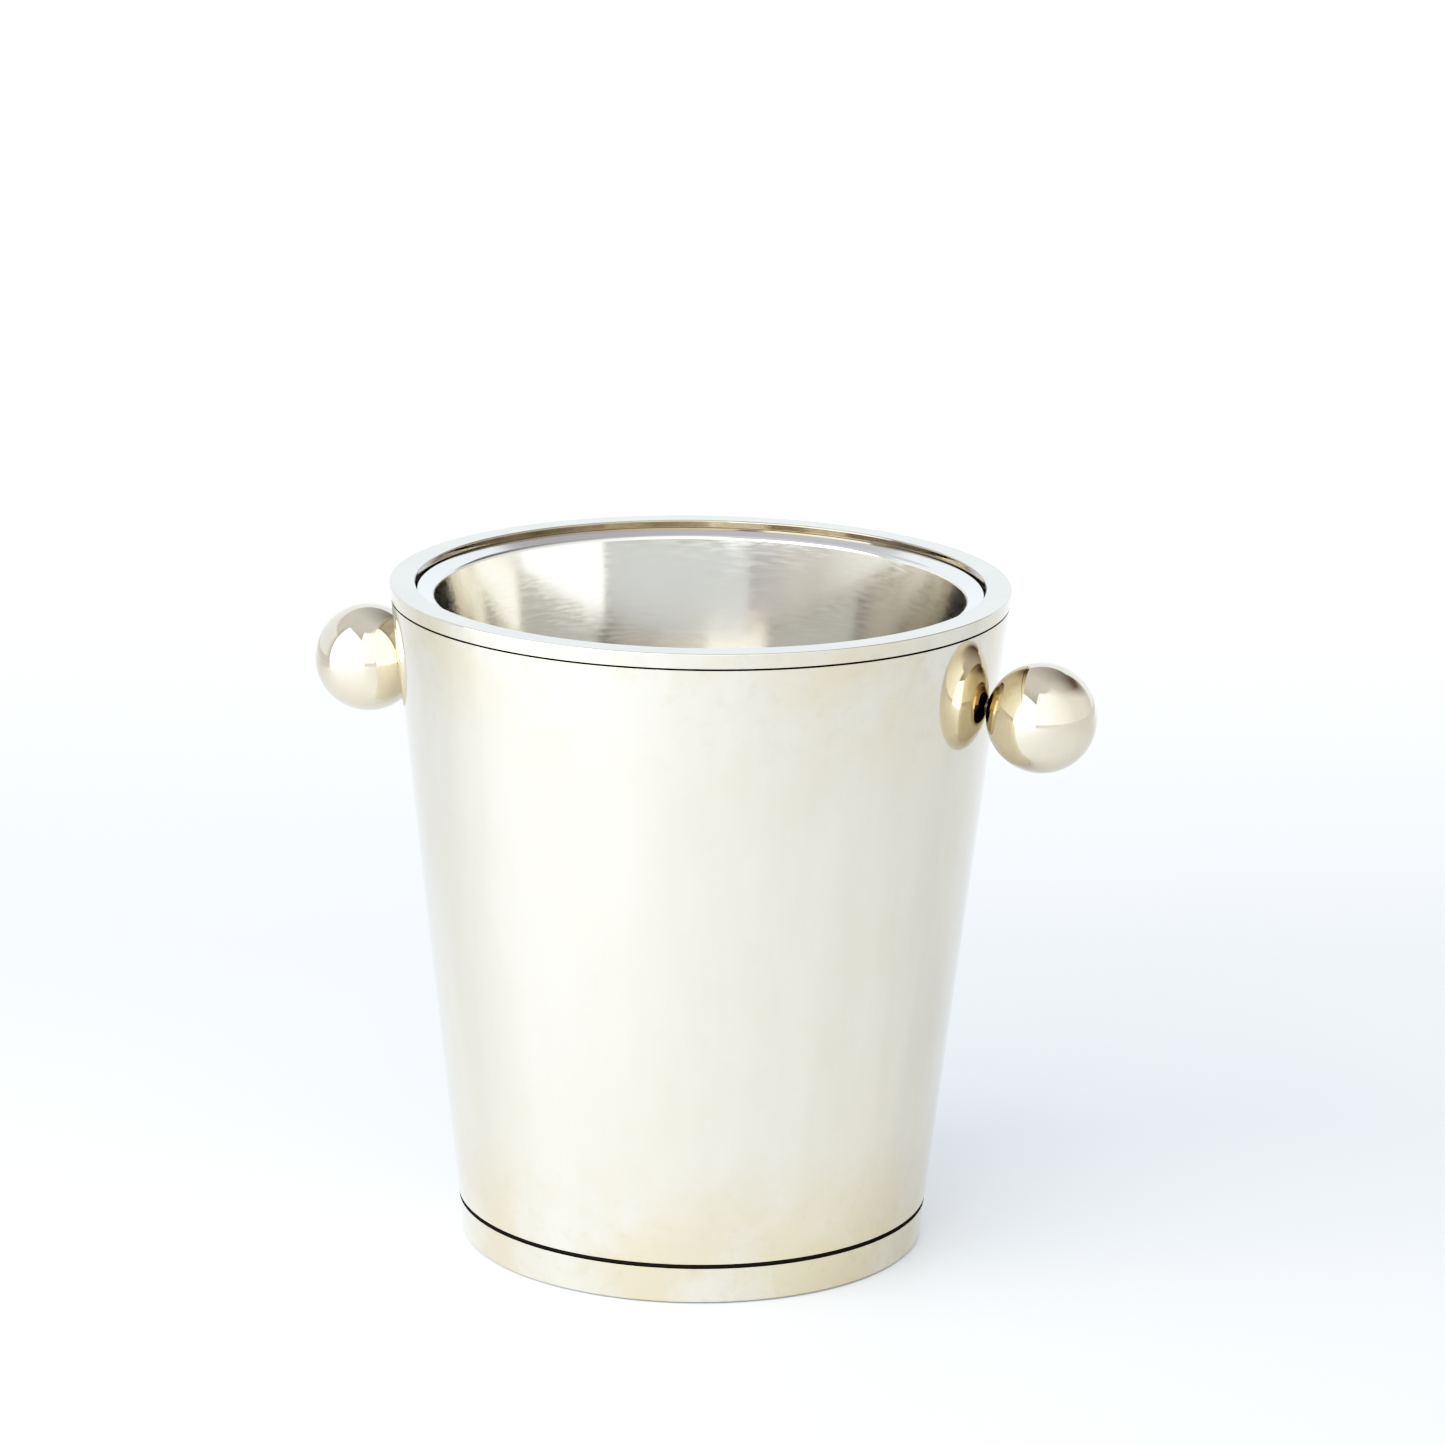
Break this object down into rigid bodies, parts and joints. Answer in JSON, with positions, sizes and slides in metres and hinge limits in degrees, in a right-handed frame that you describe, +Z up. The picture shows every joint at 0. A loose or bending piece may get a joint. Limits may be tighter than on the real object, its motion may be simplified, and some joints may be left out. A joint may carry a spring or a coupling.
{
  "type": "champagne bucket",
  "caption": "Double-walled conical wine cooler with a flush rim collar, base ring, ball side handles and a lift-out liner for ice and a bottle.",
  "frame": {"origin": "centre of the underside, where the felt pad rests", "axes": "+Z up along the bucket's axis; X through the two ball handles"},
  "size_m": [0.334, 0.2538, 0.2775],
  "materials": {
    "wall_silver": "nickel plated and mirror polished, warm silver",
    "rim_silver": "nickel plated and mirror polished, warm silver",
    "ball_silver": "nickel plated and mirror polished, warm silver",
    "liner_steel": "bright spun",
    "plain_steel": "plain, unpolished",
    "cover_aluminium": "satin",
    "gasket_rubber": "matte black",
    "pad_felt": "dense felt"
  },
  "bodies": {
    "bucket": {"rim_collar": "rim_silver", "outer_shell": "wall_silver", "liner_gasket": "gasket_rubber", "base_ring": "rim_silver", "base_plate": "plain_steel", "base_cover": "cover_aluminium", "base_pad": "pad_felt", "base_screw_1": "plain_steel", "base_screw_2": "plain_steel", "base_screw_3": "plain_steel", "base_screw_4": "plain_steel", "base_nut_1": "plain_steel", "base_nut_2": "plain_steel", "base_nut_3": "plain_steel", "base_nut_4": "plain_steel", "right_ball": "ball_silver", "right_stud": "plain_steel", "right_saddle_washer": "plain_steel", "right_spring_washer": "plain_steel", "right_nut": "plain_steel", "left_ball": "ball_silver", "left_stud": "plain_steel", "left_saddle_washer": "plain_steel", "left_spring_washer": "plain_steel", "left_nut": "plain_steel"},
    "inner_liner": {"liner": "liner_steel"}
  },
  "joints": [
    {"name": "liner_lift", "type": "slide", "parent": "bucket", "child": "inner_liner", "axis": [0, 0, 1], "range_m": [0, 0.28]}
  ]
}
